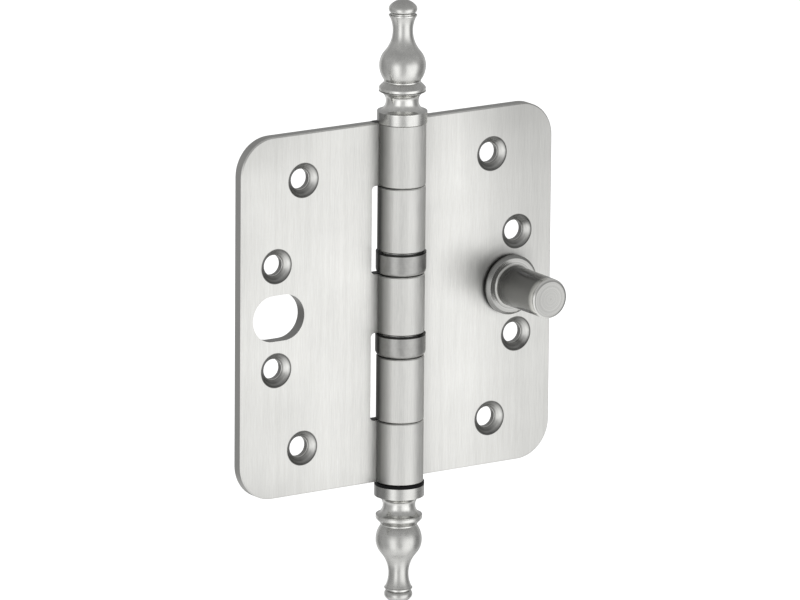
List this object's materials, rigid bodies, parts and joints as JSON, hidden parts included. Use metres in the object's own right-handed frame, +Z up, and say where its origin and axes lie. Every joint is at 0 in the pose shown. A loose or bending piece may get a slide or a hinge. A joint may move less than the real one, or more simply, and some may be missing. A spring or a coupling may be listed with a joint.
{
  "type": "ball bearing hinge",
  "caption": "Ball bearing door hinge opened flat: two round-cornered leaves, rolled knuckles, turned finials, a security stud and its slot.",
  "frame": {"origin": "on the hinge pin's axis, halfway up the leaves", "axes": "+Z up along the pin, +X from the pin towards the door leaf's free edge, +Y behind the leaves, away from the countersunk faces; the hinge lies open flat"},
  "size_m": [0.089, 0.023, 0.1496],
  "materials": {
    "leaf_steel": "stainless sheet, fine upright brushing, satin",
    "finial_steel": "turned stainless, satin with fine lathe rings",
    "cup_steel": "drawn stainless cup, satin, a little darker than the leaves",
    "stud_steel": "turned stainless, satin",
    "pin_steel": "ground steel",
    "race_steel": "ground steel",
    "ball_steel": "polished steel balls",
    "cage_nylon": "natural nylon",
    "washer_nylon": "black nylon"
  },
  "bodies": {
    "frame": {"frame_leaf": "leaf_steel", "hinge_pin": "pin_steel", "top_finial": "finial_steel", "bottom_finial": "finial_steel", "bottom_washer": "washer_nylon", "upper_cup": "cup_steel", "upper_low_race": "race_steel", "lower_high_race": "race_steel"},
    "door": {"door_leaf": "leaf_steel", "security_stud": "stud_steel", "upper_high_race": "race_steel", "lower_cup": "cup_steel", "lower_low_race": "race_steel"},
    "upper_ball_set": {"upper_cage": "cage_nylon", "upper_ball_1": "ball_steel", "upper_ball_2": "ball_steel", "upper_ball_3": "ball_steel", "upper_ball_4": "ball_steel", "upper_ball_5": "ball_steel", "upper_ball_6": "ball_steel", "upper_ball_7": "ball_steel", "upper_ball_8": "ball_steel", "upper_ball_9": "ball_steel", "upper_ball_10": "ball_steel"},
    "lower_ball_set": {"lower_cage": "cage_nylon", "lower_ball_1": "ball_steel", "lower_ball_2": "ball_steel", "lower_ball_3": "ball_steel", "lower_ball_4": "ball_steel", "lower_ball_5": "ball_steel", "lower_ball_6": "ball_steel", "lower_ball_7": "ball_steel", "lower_ball_8": "ball_steel", "lower_ball_9": "ball_steel", "lower_ball_10": "ball_steel"}
  },
  "joints": [
    {"name": "door_swing", "type": "hinge", "parent": "frame", "child": "door", "pos_m": [0, 0, 0], "axis": [0, 0, 1], "range_deg": [-180, 90]},
    {"name": "upper_ball_turn", "type": "hinge", "parent": "frame", "child": "upper_ball_set", "pos_m": [0, 0, 0.0104], "axis": [0, 0, 1], "range_deg": [-90, 45]},
    {"name": "lower_ball_turn", "type": "hinge", "parent": "frame", "child": "lower_ball_set", "pos_m": [0, 0, -0.0099], "axis": [0, 0, 1], "range_deg": [-90, 45]}
  ],
  "couplings": [
    {"joint": "upper_ball_turn", "follows": "door_swing", "ratio": 0.5},
    {"joint": "lower_ball_turn", "follows": "door_swing", "ratio": 0.5}
  ]
}
